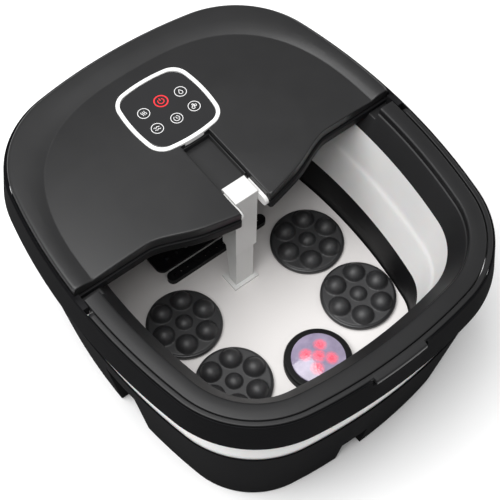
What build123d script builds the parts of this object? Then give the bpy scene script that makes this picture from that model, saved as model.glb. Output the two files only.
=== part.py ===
"""Collapsible foot spa basin: every separate piece as its own solid, millimetres, +Z up, front at -Y."""
from build123d import *
from math import atan2, cos, degrees, hypot, radians, sin, sqrt
import os

# ---- overall plan outline (top outer edge of the rim) ----
half_width = 185.0
half_length = 214.0
side_radius = 600.0
end_radius = 515.0
corner_radius = 102.0

# ---- heights ----
travel = 60.0            # how far the rim sinks when the basin is folded
foot_pad = 2.0           # rubber standing proud under the base shell
base_top = 122.0
floor_top = 49.0         # upper face of the light floor plate
rim_top = 207.5
deck_top = 212.0
skirt_bottom = 173.0
flange_low = 192.0       # shelf of the skirt that carries liner and handle
flange_high = 195.0
liner_bottom = 180.0
tub_top = 96.0

# ---- wall thicknesses and clearances ----
wall = 2.5
gap = 0.4
running = 0.1            # radial play of turning pins and shafts
skirt_flare = 5.0
base_inset_top = 5.4
base_inset_bottom = 20.5
tub_inset = 56.0
reach = 700.0            # size of cutting blocks

# ---- rim, handle and cover ----
lip = 1.6                # outer lip outside the handle
handle_outer = lip + 0.3
handle_inner = 6.6
band_outer = 7.3         # broad rounded band of the liner
band_inner = 23.4
pivot_y = -20.0
seat_end = -9.0
band_end = -2.0
cover_front = 9.0
cover_inset = 3.6
slot_half = 16.5
tongue_front = -16.5
panel_y = 118.5
panel_half = 42.7

# ---- column ----
column_y = 7.5
column_wide = 25.0
column_deep = 21.0
column_wall = 1.6
cap_bottom = 203.0
column_foot = 3.0

# ---- massage discs and light ----
disc_x = 79.0
disc_radius = 38.5
disc_gap = 4.0
disc_rear = -5.0
disc_rows = {"rear": disc_rear, "front": disc_rear - 2 * disc_radius - disc_gap}
shaft_radius = 3.0
light_y = -118.0

side_x = half_width - side_radius
end_y = half_length - end_radius
span = hypot(side_x, end_y)
to_side = side_radius - corner_radius
to_end = end_radius - corner_radius
along = (to_side**2 - to_end**2 + span**2) / (2 * span)
across = sqrt(to_side**2 - along**2)
corner_x = side_x - (along * side_x + across * end_y) / span
corner_y = (along * end_y - across * side_x) / span
side_turn = degrees(atan2(corner_y, corner_x - side_x))
end_turn = degrees(atan2(corner_y - end_y, corner_x))


def plan(inset, height):
    """Outline of eight tangent arcs, moved inward by inset and lying at height."""
    turn = end_turn - side_turn
    side = side_radius - inset
    end = end_radius - inset
    corner = corner_radius - inset
    with BuildSketch(Plane.XY.offset(height)) as outline:
        with BuildLine():
            CenterArc((side_x, 0), side, -side_turn, 2 * side_turn)
            CenterArc((corner_x, corner_y), corner, side_turn, turn)
            CenterArc((0, end_y), end, end_turn, 180 - 2 * end_turn)
            CenterArc((-corner_x, corner_y), corner, 180 - end_turn, turn)
            CenterArc((-side_x, 0), side, 180 - side_turn, 2 * side_turn)
            CenterArc((-corner_x, -corner_y), corner, 180 + side_turn, turn)
            CenterArc((0, -end_y), end, 180 + end_turn, 180 - 2 * end_turn)
            CenterArc((corner_x, -corner_y), corner, 360 - end_turn, turn)
        make_face()
    return outline.sketch


def stack(*stations):
    """Free solid through outlines given as (inset, height), lowest first."""
    return loft([plan(inset, height) for inset, height in stations], ruled=True, mode=Mode.PRIVATE)


def block(x0, x1, y0, y1, z0, z1):
    """Free box between two corners."""
    box = Box(x1 - x0, y1 - y0, z1 - z0, mode=Mode.PRIVATE)
    return Pos((x0 + x1) / 2, (y0 + y1) / 2, (z0 + z1) / 2) * box


def drum(x, y, z0, z1, radius):
    """Free upright cylinder."""
    return Pos(x, y, (z0 + z1) / 2) * Cylinder(radius, z1 - z0, mode=Mode.PRIVATE)


def bar(x0, x1, y, z, radius):
    """Free cylinder lying along X."""
    rod = Cylinder(radius, abs(x1 - x0), rotation=(0, 90, 0), mode=Mode.PRIVATE)
    return Pos((x0 + x1) / 2, y, z) * rod


def ahead_of(y):
    return block(-reach, reach, -reach, y, -reach, reach)


def behind(y):
    return block(-reach, reach, y, reach, -reach, reach)


def deck(setback, z0, z1):
    """Free prism of everything behind the curved front edge of the cover."""
    front = cover_front + setback
    tip = tongue_front + setback
    with BuildSketch(Plane.XY.offset(z0)) as area:
        with BuildLine():
            curve = Spline(
                (105, front), (82, front - 6), (56, front - 16.5), (36, front - 21.5), (slot_half, tip),
                tangents=[(-1, 0), (-1, -0.15)],
            )
            mirror(curve, about=Plane.YZ)
            Line((slot_half, tip), (-slot_half, tip))
            Polyline((105, front), (reach, front), (reach, reach), (-reach, reach), (-reach, front), (-105, front))
        make_face()
    return extrude(area.sketch, amount=z1 - z0, mode=Mode.PRIVATE)


def soft_square(half, height, thick):
    """Free plate with bulging sides and round corners, centred on the panel."""
    corner = 0.45 * half
    bulge = 3.6 * half
    centre = bulge - half
    inner = bulge - corner
    offset = (-centre + sqrt(2 * inner**2 - centre**2)) / 2
    turn = degrees(atan2(offset, offset + centre))
    with BuildSketch(Plane.XY.offset(height)) as plate:
        with BuildLine():
            for quarter in range(4):
                angle = 90 * quarter
                way = radians(angle)
                diagonal = radians(angle + 45)
                CenterArc((-centre * cos(way), panel_y - centre * sin(way)), bulge, angle - turn, 2 * turn)
                CenterArc(
                    (offset * sqrt(2) * cos(diagonal), panel_y + offset * sqrt(2) * sin(diagonal)),
                    corner, angle + turn, 90 - 2 * turn,
                )
        make_face()
    return extrude(plate.sketch, amount=thick, mode=Mode.PRIVATE)


def save(builder, name):
    builder.part.label = name
    export_step(builder.part, f"parts/{name}.step")


os.makedirs("parts", exist_ok=True)

screw_inset = 4.6
screw_side = side_x + sqrt((side_radius - screw_inset)**2 - 60**2)
screw_turn = (corner_radius - screw_inset) * sqrt(0.5)
screw_end = half_length - screw_inset
screw_spots = [(0, screw_end), (0, -screw_end), (screw_side, 60), (-screw_side, 60)]
for sx in (-1, 1):
    for sy in (-1, 1):
        screw_spots.append((sx * (corner_x + screw_turn), sy * (corner_y + screw_turn)))
cover_side = half_width - 21
cover_end = half_length - 26
cover_spots = [(cover_side, 60), (-cover_side, 60), (90, cover_end), (-90, cover_end)]

handle_low = flange_high + 1
handle_mid = (handle_low + rim_top) / 2
handle_half = (rim_top - handle_low) / 2
pin_end = half_width - 2.2
pin_radius = 2.0

# ================= rim =================
with BuildPart() as rim_skirt:
    add(stack((-skirt_flare, skirt_bottom), (0, rim_top - 2), (0.8, rim_top - 1)))
    add(stack((wall - skirt_flare, skirt_bottom - 1), (0.5, flange_low)), mode=Mode.SUBTRACT)
    add(stack((band_outer - gap, flange_low - 1), (band_outer - gap, rim_top)), mode=Mode.SUBTRACT)
    add(stack((lip, flange_high), (lip, rim_top)) & ahead_of(seat_end), mode=Mode.SUBTRACT)
    add(stack((cover_inset - gap, flange_high), (cover_inset - gap, rim_top)) & behind(cover_front - 2.6),
        mode=Mode.SUBTRACT)
    add(block(-31, 31, -reach, -half_length + 8, rim_top - 7, rim_top), mode=Mode.SUBTRACT)
    for x, y in screw_spots:
        add(drum(x, y, flange_low - 1, flange_high - 0.5, 1.5), mode=Mode.SUBTRACT)
save(rim_skirt, "rim_skirt")

liner_foot = flange_low - 2
with BuildPart() as rim_liner:
    add(stack((band_outer, flange_low), (band_outer, rim_top - 1.2), (band_outer + 1.2, rim_top)))
    add(stack((3, liner_foot), (3, flange_low)))
    add(stack((36, liner_bottom), (29.8, liner_foot)))
    water_side = stack(
        (39, liner_bottom - 0.01), (25, 200), (band_inner, 200.01),
        (band_inner, rim_top - 1.2), (band_inner - 1.2, rim_top + 0.01),
    )
    add(water_side, mode=Mode.SUBTRACT)
    hollow = stack((band_outer + wall, liner_foot + 2), (band_outer + wall, rim_top - wall))
    hollow_low = stack((band_outer + 5.2, liner_foot - 1), (band_outer + 5.2, liner_foot + 2))
    inner_wall = stack((36.6, 179), (20.6, 205.5))
    add((hollow + hollow_low) - inner_wall, mode=Mode.SUBTRACT)
    rear_top = stack((0, flange_high), (0, rim_top + 1)) & behind(band_end)
    add(rear_top, mode=Mode.SUBTRACT)
    shelf = stack((band_outer, flange_high - wall), (band_outer, flange_high))
    add((shelf - stack((28, 190), (28, 196))) & behind(band_end))
    end_wall = stack((band_outer, liner_foot), (band_outer, rim_top - wall)) - stack((22.5, 190), (22.5, 206))
    add(end_wall & behind(band_end - wall) & ahead_of(band_end))
    for side in (-1, 1):
        add(bar(side * (pin_end - 13), side * pin_end, pivot_y, handle_mid, pin_radius + running), mode=Mode.SUBTRACT)
    for x, y in screw_spots:
        add(drum(x, y, liner_foot - 1, flange_low + 1, 1.5), mode=Mode.SUBTRACT)
    for x, y in cover_spots:
        add(drum(x, y, flange_high - wall - 1, flange_high + 1, 1.5), mode=Mode.SUBTRACT)
save(rim_liner, "rim_liner")

with BuildPart() as rim_screws:
    for x, y in screw_spots:
        add(drum(x, y, liner_foot - 2, liner_foot, 2.4))
        add(drum(x, y, liner_foot, flange_high - 0.5, 1.5))
save(rim_screws, "rim_screws")

# ================= carry handle =================
tab_half = 28.0
with BuildPart() as handle:
    strap = stack((handle_outer, handle_low), (handle_outer, rim_top - 1), (handle_outer + 1, rim_top))
    strap -= stack((handle_inner, handle_low - 1), (handle_inner, rim_top + 1))
    add(strap & ahead_of(pivot_y))
    for side in (-1, 1):
        pad = strap & bar(side * (pin_end - 23), side * (pin_end + 7), pivot_y, handle_mid, handle_half)
        add(pad)
        pin_bore = bar(side * (pin_end - 13), side * (pin_end + 7), pivot_y, handle_mid, pin_radius + running)
        add(pin_bore, mode=Mode.SUBTRACT)
    tab = stack((-2.6, rim_top - 5.5), (-2.6, rim_top - 1.5), (-1, rim_top))
    tab -= stack((handle_outer + 1, 190), (handle_outer + 1, 210))
    add(tab & block(-tab_half, tab_half, -reach, 0, 190, 210))
save(handle, "handle")

with BuildPart() as handle_pins:
    for side in (-1, 1):
        add(bar(side * (pin_end - 10.3), side * pin_end, pivot_y, handle_mid, pin_radius))
        add(bar(side * (pin_end - 10.8), side * (pin_end - 8.6), pivot_y, handle_mid, pin_radius + 1.1))
save(handle_pins, "handle_pins")

# ================= splash cover =================
under_deck = deck_top - 4.8
lip_top = flange_high + 5
valley = 28.0
plateau = 50.0
with BuildPart() as splash_cover:
    add(stack((cover_inset, flange_high), (cover_inset, deck_top - 3.5), (cover_inset + 3.5, deck_top)))
    add(stack((valley, deck_top - 2.2), (cover_inset + 4.5, deck_top + 0.01)), mode=Mode.SUBTRACT)
    add(stack((valley, deck_top - 2.3), (plateau, deck_top)))
    add(deck(0, 180, 230), mode=Mode.INTERSECT)
    inside = stack((cover_inset + 2.6, flange_high - 1), (cover_inset + 2.6, under_deck)) & deck(2.6, 190, 230)
    add(inside, mode=Mode.SUBTRACT)
    add(deck(-1, 190, lip_top + 1.5) - deck(9, 190, lip_top + 1.5), mode=Mode.SUBTRACT)
    add(block(-slot_half, slot_half, -reach, panel_y - panel_half + 1, 180, 230), mode=Mode.SUBTRACT)
    add(soft_square(panel_half - 2.2, 190, 40), mode=Mode.SUBTRACT)
    for x, y in cover_spots:
        add(drum(x, y, flange_high, under_deck + 0.5, 4.2))
        add(drum(x, y, flange_high, flange_high + 9, 1.5), mode=Mode.SUBTRACT)
save(splash_cover, "splash_cover")

lip_bottom = 190.0
with BuildPart() as cover_lip:
    strip = deck(-2.2, lip_bottom, lip_top) - deck(5, lip_bottom - 1, lip_top + 1)
    over_ledge = stack((cover_inset + 0.3, flange_high), (cover_inset + 0.3, lip_top + 1))
    in_basin = stack((35, lip_bottom - 0.01), (28.5, flange_high), (28.5, lip_top + 1))
    add(strip & over_ledge)
    add(strip & in_basin)
    web = deck(3, lip_top, under_deck) - deck(5, lip_top - 1, under_deck + 1)
    add(web & stack((cover_inset + 3, 190), (cover_inset + 3, 210)))
    add(block(-slot_half, slot_half, -reach, 80, 180, 230), mode=Mode.SUBTRACT)
save(cover_lip, "cover_lip")

with BuildPart() as cover_screws:
    for x, y in cover_spots:
        add(drum(x, y, flange_high - wall - 2, flange_high - wall, 2.8))
        add(drum(x, y, flange_high - wall, flange_high + 8, 1.5))
save(cover_screws, "cover_screws")

channel_end = panel_y - panel_half + 0.4
channel_start = column_y + column_deep / 2 + 1
with BuildPart() as channel_liner:
    add(block(gap - slot_half, slot_half - gap, channel_start, channel_end, 198, deck_top - 0.7))
    add(block(gap - slot_half + 1.6, slot_half - gap - 1.6, channel_start - 1, channel_end - 1.6, 199.6, 230),
        mode=Mode.SUBTRACT)
save(channel_liner, "channel_liner")

# ================= control panel =================
window_half = panel_half - 4.3
window_top = deck_top + 0.4
with BuildPart() as panel_bezel:
    add(soft_square(panel_half, deck_top, 1.4))
    add(soft_square(panel_half - 2.5, 205, deck_top - 205))
    add(soft_square(window_half + 0.2, 209.4, 10), mode=Mode.SUBTRACT)
    add(soft_square(window_half - 3, 204, 10), mode=Mode.SUBTRACT)
save(panel_bezel, "panel_bezel")

with BuildPart() as panel_window:
    add(soft_square(window_half, 209.4, window_top - 209.4))
save(panel_window, "panel_window")

with BuildPart() as touch_board:
    add(soft_square(window_half - 3.4, 207.8, 1.6))
save(touch_board, "touch_board")

with BuildPart() as panel_tray:
    add(soft_square(panel_half + 2, 196.5, under_deck - 196.5) & behind(channel_end + 0.3))
    add(soft_square(panel_half + 0.2, 198.3, 20) & behind(channel_end + 1.9), mode=Mode.SUBTRACT)
save(panel_tray, "panel_tray")

key_spots = [(-21.5, 9), (21.5, 9), (-21.5, -13), (0, -14.5), (21.5, -13)]
with BuildPart() as key_rings:
    for x, y in key_spots:
        ring = drum(x, panel_y + y, window_top, window_top + 0.25, 6.2)
        add(ring - drum(x, panel_y + y, window_top - 1, window_top + 1, 5.3))
save(key_rings, "key_rings")

with BuildPart() as key_symbols:
    for x, y in key_spots:
        add(drum(x, panel_y + y, window_top, window_top + 0.25, 2.2))
save(key_symbols, "key_symbols")

with BuildPart() as power_key:
    ring = drum(0, panel_y + 11, window_top, window_top + 0.25, 7.3)
    add(ring - drum(0, panel_y + 11, window_top - 1, window_top + 1, 4.6))
    add(block(-0.7, 0.7, panel_y + 10, panel_y + 14.5, window_top, window_top + 0.25))
save(power_key, "power_key")

# ================= column =================
foot_top = floor_top + column_foot
sleeve_bottom = foot_top + travel + 2
post_top = cap_bottom - travel - 1
sleeve_front = column_y - column_deep / 2
with BuildPart() as column_sleeve:
    half = column_wide / 2
    rear = sleeve_front + column_deep
    add(block(-half, half, sleeve_front, rear, sleeve_bottom, cap_bottom))
    add(block(column_wall - half, half - column_wall, sleeve_front + column_wall, rear - column_wall,
              sleeve_bottom - 1, cap_bottom + 1), mode=Mode.SUBTRACT)
save(column_sleeve, "column_sleeve")

with BuildPart() as column_cap:
    add(block(-half - 0.5, half + 0.5, sleeve_front - 0.5, rear, cap_bottom, cap_bottom + 3))
    fillet(column_cap.edges().group_by(Axis.Z)[-1], 0.8)
save(column_cap, "column_cap")

with BuildPart() as column_yoke:
    for side in (-1, 1):
        near = side * half
        far = side * (slot_half - 0.5)
        x0, x1 = min(near, far), max(near, far)
        add(block(x0, x1, -10, 14, 192, cap_bottom))
        add(bar(x0, x1, -10, 197.5, 5.5))
save(column_yoke, "column_yoke")

post_gap = 0.3
post_half = half - column_wall - post_gap
post_front = sleeve_front + column_wall + post_gap
post_rear = rear - column_wall - post_gap
with BuildPart() as column_post:
    with BuildSketch(Plane.YZ.offset(-post_half)) as side_view:
        with BuildLine():
            Polyline(
                (post_front, foot_top), (post_front, post_top), (post_rear, post_top),
                (post_rear, sleeve_bottom), (post_rear - 7, foot_top), close=True,
            )
        make_face()
    extrude(amount=2 * post_half)
    add(block(-post_half - 4, post_half + 4, post_front - 4, post_rear + 1, floor_top, foot_top))
    add(block(-4, 4, post_front + 3, post_front + 7, floor_top - 1, post_top + 1), mode=Mode.SUBTRACT)
save(column_post, "column_post")

# ================= folding walls =================
outer_wall_foot = base_top - 4
with BuildPart() as fold_wall_outer:
    add(stack((7.3, outer_wall_foot), (7.3, liner_foot)))
    add(stack((8.9, outer_wall_foot - 1), (8.9, liner_foot + 1)), mode=Mode.SUBTRACT)
save(fold_wall_outer, "fold_wall_outer")

with BuildPart() as fold_wall_inner:
    add(stack((tub_inset - 2, tub_top), (37, liner_bottom)))
    add(stack((tub_inset, tub_top), (39, liner_bottom)), mode=Mode.SUBTRACT)
save(fold_wall_inner, "fold_wall_inner")

# ================= base =================
groove_deep = 9.0
side_groove_top = 87.0
end_groove_top = 45.0
plate_low = 16.0
plate_high = plate_low + wall
boss_spots = [(0.8 * x, 0.8 * y) for x, y in screw_spots]
shelf_low = tub_top - wall - 3
gland_z = 29.0
gland_y = half_length - 18
inner_foot = 23.5
inner_top = 9.1
inner_slope = (inner_top - inner_foot) / (outer_wall_foot - foot_pad)
ledge_foot = inner_foot + inner_slope * (shelf_low - foot_pad) + 0.1
ledge_top = inner_foot + inner_slope * (tub_top - wall - foot_pad) + 0.1


def grooves(deep, grow):
    """Free solids of the upright grip grooves in the base, one in each side, grown all round their openings."""
    zone = block(-36 - grow, -6 + grow, -reach, 0, 0, end_groove_top + grow)
    zone += block(6 - grow, 36 + grow, 0, reach, 0, end_groove_top + grow)
    zone += block(-reach, reach, -55 - grow, -12 + grow, 0, side_groove_top + grow)
    return zone - stack((base_inset_bottom + deep, 0), (base_inset_bottom + deep, foot_pad),
                        (base_inset_top + deep, base_top))


base_room = stack((inner_foot, foot_pad), (inner_top, outer_wall_foot))
with BuildPart() as base_shell:
    add(stack((base_inset_bottom, foot_pad), (base_inset_top, base_top)))
    add(base_room, mode=Mode.SUBTRACT)
    add(stack((7.0, outer_wall_foot), (7.0, base_top)), mode=Mode.SUBTRACT)
    add(grooves(groove_deep, 0), mode=Mode.SUBTRACT)
    gland_hole = Cylinder(6, 60, rotation=(90, 0, 0), mode=Mode.PRIVATE)
    add(Pos(-60, gland_y, gland_z) * gland_hole, mode=Mode.SUBTRACT)
save(base_shell, "base_shell")

with BuildPart() as grip_cups:
    add(base_room & grooves(groove_deep + wall, wall))
    add(grooves(groove_deep, 0), mode=Mode.SUBTRACT)
save(grip_cups, "grip_cups")

with BuildPart() as tub_ledge:
    add(stack((ledge_foot, shelf_low), (ledge_top, tub_top - wall)))
    add(stack((ledge_foot + 4, shelf_low), (ledge_foot + 4, tub_top - wall)), mode=Mode.SUBTRACT)
save(tub_ledge, "tub_ledge")

tub_floor_low = floor_top - 5.5
tub_floor = floor_top - 2.5
discs = []
for row, y in disc_rows.items():
    discs.append((-disc_x, y, f"{row}_left"))
    discs.append((disc_x, y, f"{row}_right"))
heater_y = 78.0
bubble_y = 45.0
with BuildPart() as inner_tub:
    add(stack((tub_inset - 1.6, tub_floor_low), (tub_inset - wall, tub_top)))
    add(stack((ledge_foot, tub_top - wall), (ledge_foot, tub_top)))
    add(stack((tub_inset + 1, tub_floor), (tub_inset, tub_top + 0.01)), mode=Mode.SUBTRACT)
    for x, y in boss_spots:
        add(drum(x, y, plate_high, tub_top - 1, 4.5))
        add(drum(x, y, plate_high - 1, plate_high + 9, 1.7), mode=Mode.SUBTRACT)
    for x, y, name in discs:
        add(drum(x, y, 0, 60, 5), mode=Mode.SUBTRACT)
    add(drum(0, light_y, 0, 60, 6), mode=Mode.SUBTRACT)
    add(drum(0, column_y, 0, 60, 4), mode=Mode.SUBTRACT)
    add(drum(-30, bubble_y, 0, 60, 4), mode=Mode.SUBTRACT)
    add(drum(45, heater_y + 42, 0, 60, 4), mode=Mode.SUBTRACT)
    add(block(-58, 58, heater_y - 16, heater_y + 16, 0, 60), mode=Mode.SUBTRACT)
save(inner_tub, "inner_tub")

with BuildPart() as floor_plate:
    add(stack((tub_inset + 2.4, tub_floor), (tub_inset + 2.4, floor_top)))
    for x, y, name in discs:
        add(drum(x, y, 0, 60, 7), mode=Mode.SUBTRACT)
    add(drum(0, light_y, 0, 60, 6), mode=Mode.SUBTRACT)
    add(drum(0, column_y, 0, 60, 4), mode=Mode.SUBTRACT)
    add(drum(-30, bubble_y, 0, 60, 4), mode=Mode.SUBTRACT)
    add(drum(45, heater_y + 42, 0, 60, 4), mode=Mode.SUBTRACT)
    add(block(-58, 58, heater_y - 16, heater_y + 16, 0, 60), mode=Mode.SUBTRACT)
save(floor_plate, "floor_plate")

board_x = (44, 104)
board_y = (88, 126)
board_z = 24.0
vent_pitch = 8.0
leg_spots = [(sx * 92, sy * 118) for sx in (-1, 1) for sy in (-1, 1)]
with BuildPart() as bottom_cover:
    add(stack((22.3, plate_low), (22.3, plate_high)))
    add(grooves(groove_deep + wall + gap, wall + gap), mode=Mode.SUBTRACT)
    for x, y in leg_spots:
        add(drum(x, y, 3, plate_low + 1, 15))
        add(drum(x, y, 0, 5, 12), mode=Mode.SUBTRACT)
    for row in range(7):
        vent = vent_pitch * (row - 3)
        add(block(-24, 24, vent - 2, vent + 2, 0, 30), mode=Mode.SUBTRACT)
    for x in board_x:
        for y in board_y:
            add(drum(x, y, plate_low + 1, board_z, 3))
    for x, y in boss_spots:
        add(drum(x, y, 0, plate_high + 1, 1.7), mode=Mode.SUBTRACT)
save(bottom_cover, "bottom_cover")

with BuildPart() as bottom_screws:
    for x, y in boss_spots:
        add(drum(x, y, plate_low - 2.2, plate_low, 3.4))
        add(drum(x, y, plate_low, plate_high + 9, 1.7))
save(bottom_screws, "bottom_screws")

with BuildPart() as rubber_feet:
    for x, y in leg_spots:
        add(drum(x, y, 0, 5, 11.8))
save(rubber_feet, "rubber_feet")

# ================= massage drives =================
disc_low = floor_top + 1
disc_high = disc_low + 5
knob_radius = 11.0
knob_ring = disc_radius - 14


def make_disc(x, y, name):
    """One massage disc with its knob pad, drive shaft and gear motor."""
    with BuildPart() as disc:
        add(drum(x, y, disc_low, disc_high, disc_radius))
        chamfer(disc.edges().group_by(Axis.Z)[-1], 1.5)
        add(drum(x, y, disc_low - 1, disc_high + 1, shaft_radius), mode=Mode.SUBTRACT)
    save(disc, f"disc_{name}")
    with BuildPart() as pad:
        add(drum(x, y, disc_high, disc_high + 1.2, disc_radius - 1.5))
        for step in range(6):
            angle = radians(60 * step)
            ball = Sphere(knob_radius, mode=Mode.PRIVATE)
            add(Pos(x + knob_ring * cos(angle), y + knob_ring * sin(angle), disc_high - 1) * ball)
        add(Pos(x, y, disc_high - 3) * Sphere(10, mode=Mode.PRIVATE))
        add(block(x - 50, x + 50, y - 50, y + 50, 0, disc_high), mode=Mode.SUBTRACT)
    save(pad, f"knobs_{name}")
    with BuildPart() as shaft:
        add(drum(x, y, tub_floor_low - 10, disc_high, shaft_radius))
    save(shaft, f"shaft_{name}")
    inward = -1 if x > 0 else 1
    with BuildPart() as motor:
        add(block(x - 22, x + 22, y - 18, y + 18, tub_floor_low - 18, tub_floor_low))
        add(bar(x + inward * 22, x + inward * 54, y, tub_floor_low - 12, 11))
        add(bar(x + inward * 54, x + inward * 57, y, tub_floor_low - 12, 4))
        add(drum(x, y, tub_floor_low - 12, tub_floor_low + 1, shaft_radius + running), mode=Mode.SUBTRACT)
        fillet(motor.edges().filter_by(Axis.Z), 2)
    save(motor, f"motor_{name}")


for x, y, name in discs:
    make_disc(x, y, name)

with BuildPart() as shaft_seals:
    for x, y, name in discs:
        add(drum(x, y, tub_floor_low, tub_floor, 5) - drum(x, y, 0, 60, shaft_radius + running))
save(shaft_seals, "shaft_seals")

# ================= light =================
plinth_top = floor_top + 10
with BuildPart() as light_plinth:
    add(drum(0, light_y, floor_top, plinth_top, 34))
    chamfer(light_plinth.edges().group_by(Axis.Z)[-1], 2)
    add(drum(0, light_y, floor_top + 2, plinth_top + 1, 23), mode=Mode.SUBTRACT)
    add(drum(0, light_y, floor_top - 1, floor_top + 3, 4), mode=Mode.SUBTRACT)
save(light_plinth, "light_plinth")

with BuildPart() as lens:
    add(Pos(0, light_y, plinth_top - 60) * Sphere(66, mode=Mode.PRIVATE))
    add(drum(0, light_y, plinth_top, plinth_top + 20, 27), mode=Mode.INTERSECT)
    add(drum(0, light_y, plinth_top - 2, plinth_top, 22.8))
    add(Pos(0, light_y, plinth_top - 60) * Sphere(63.5, mode=Mode.PRIVATE) & drum(0, light_y, 0, 100, 21.5),
        mode=Mode.SUBTRACT)
save(lens, "lens")

with BuildPart() as light_board:
    add(drum(0, light_y, floor_top + 2, floor_top + 3.6, 21))
save(light_board, "light_board")

lamp_spots = [(0, 0)]
for step in range(4):
    lamp_spots.append((13 * cos(radians(45 + 90 * step)), 13 * sin(radians(45 + 90 * step))))
with BuildPart() as lamps:
    for x, y in lamp_spots:
        add(drum(x, light_y + y, floor_top + 3.6, floor_top + 7, 2.5))
save(lamps, "lamps")

# ================= water heating and bubbles =================
with BuildPart() as heater_cover:
    add(block(-64, 64, heater_y - 22, heater_y + 22, floor_top, floor_top + 4))
    fillet(heater_cover.edges().filter_by(Axis.Z), 8)
    add(block(-61, 61, heater_y - 19, heater_y + 19, floor_top - 1, floor_top + 2.4), mode=Mode.SUBTRACT)
    for column in range(9):
        for row in range(3):
            add(drum(12 * (column - 4), heater_y + 11 * (row - 1), 40, 60, 2.2), mode=Mode.SUBTRACT)
save(heater_cover, "heater_cover")

with BuildPart() as heater_plate:
    add(block(-57.6, 57.6, heater_y - 15.6, heater_y + 15.6, tub_floor_low - 3, floor_top))
    add(block(-62, 62, heater_y - 20, heater_y + 20, tub_floor_low - 3, tub_floor_low))
save(heater_plate, "heater_plate")

with BuildPart() as thermal_cutout:
    add(drum(28, heater_y, tub_floor_low - 10, tub_floor_low - 3, 8))
save(thermal_cutout, "thermal_cutout")

with BuildPart() as temperature_probe:
    add(drum(45, heater_y + 42, tub_floor_low - 6, floor_top + 9, 3.8))
    fillet(temperature_probe.edges().group_by(Axis.Z)[-1], 3)
    add(drum(45, heater_y + 42, floor_top, floor_top + 2, 8))
save(temperature_probe, "temperature_probe")

with BuildPart() as bubble_bar:
    add(block(-62, 62, bubble_y - 6, bubble_y + 6, floor_top, floor_top + 7))
    fillet(bubble_bar.edges().filter_by(Axis.Z), 5.9)
    add(block(-56, 56, bubble_y - 3.5, bubble_y + 3.5, floor_top - 1, floor_top + 5), mode=Mode.SUBTRACT)
    for step in range(15):
        add(drum(7.6 * (step - 7), bubble_y, 40, 70, 1), mode=Mode.SUBTRACT)
save(bubble_bar, "bubble_bar")

pump_x = -88.0
pump_y = 112.0
hose_z = 31.0
with BuildPart() as air_pump:
    add(block(pump_x - 26, pump_x + 26, pump_y - 20, pump_y + 20, plate_high, tub_floor_low - 2))
    fillet(air_pump.edges().filter_by(Axis.Z), 6)
    add(bar(pump_x + 26, pump_x + 34, pump_y - 8, hose_z, 2.4))
save(air_pump, "air_pump")

with BuildPart() as air_hose:
    with BuildLine() as hose_path:
        FilletPolyline(
            (pump_x + 34, pump_y - 8, hose_z), (pump_x + 44, pump_y - 8, hose_z),
            (-30, bubble_y, hose_z), (-30, bubble_y, floor_top), radius=8,
        )
    with BuildSketch(Plane(hose_path.line @ 0, z_dir=hose_path.line % 0)):
        Circle(3.6)
        Circle(2.4, mode=Mode.SUBTRACT)
    sweep()
save(air_hose, "air_hose")

# ================= electrics =================
with BuildPart() as power_board:
    add(block(38, 110, 82, 132, board_z, board_z + 1.6))
    component_z = board_z + 1.6
    add(block(50, 70, 88, 104, component_z, 40))
    add(drum(82, 94, component_z, 41, 6))
    add(drum(96, 94, component_z, 37, 4))
    add(block(74, 98, 108, 124, component_z, 34))
    add(block(52, 66, 110, 124, component_z, 36))
save(power_board, "power_board")

with BuildPart() as cord_gland:
    add(Pos(-60, gland_y, gland_z) * Cylinder(6, 18, rotation=(90, 0, 0), mode=Mode.PRIVATE))
    collar = Cylinder(8.5, 3, rotation=(90, 0, 0), mode=Mode.PRIVATE)
    add(Pos(-60, gland_y - 9.5, gland_z) * collar)
    cord_way = Cylinder(3.2, 40, rotation=(90, 0, 0), mode=Mode.PRIVATE)
    add(Pos(-60, gland_y, gland_z) * cord_way, mode=Mode.SUBTRACT)
save(cord_gland, "cord_gland")
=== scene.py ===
"""Looks of the collapsible foot spa basin, built round its CAD model. Sizes are mm until a mesh is made."""

from math import asin, atan2, cos, hypot, pi, radians, sin, sqrt

import bmesh
import bpy
import numpy as np
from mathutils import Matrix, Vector
from mathutils.geometry import delaunay_2d_cdt


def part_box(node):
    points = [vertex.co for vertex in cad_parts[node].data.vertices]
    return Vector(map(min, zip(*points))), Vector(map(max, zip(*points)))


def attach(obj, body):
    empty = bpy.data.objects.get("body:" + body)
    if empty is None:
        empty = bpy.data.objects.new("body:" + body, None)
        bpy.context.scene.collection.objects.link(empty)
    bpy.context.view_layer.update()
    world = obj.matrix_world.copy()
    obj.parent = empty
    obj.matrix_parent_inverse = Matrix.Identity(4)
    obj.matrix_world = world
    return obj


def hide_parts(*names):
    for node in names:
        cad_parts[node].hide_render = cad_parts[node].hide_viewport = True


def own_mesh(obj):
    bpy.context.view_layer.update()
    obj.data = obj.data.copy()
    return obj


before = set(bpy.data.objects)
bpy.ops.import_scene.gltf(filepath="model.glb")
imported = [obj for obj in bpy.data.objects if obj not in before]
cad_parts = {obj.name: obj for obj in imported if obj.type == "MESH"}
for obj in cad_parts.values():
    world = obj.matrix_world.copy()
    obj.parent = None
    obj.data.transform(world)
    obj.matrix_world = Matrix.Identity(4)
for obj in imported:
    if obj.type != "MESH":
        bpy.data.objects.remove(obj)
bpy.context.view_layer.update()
MM = 0.001


def low(node):
    """Lowest corner of a CAD node, in mm."""
    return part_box(node)[0] / MM


def high(node):
    """Highest corner of a CAD node, in mm."""
    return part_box(node)[1] / MM


# ---------------------------------------------------------------- outlines

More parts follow.
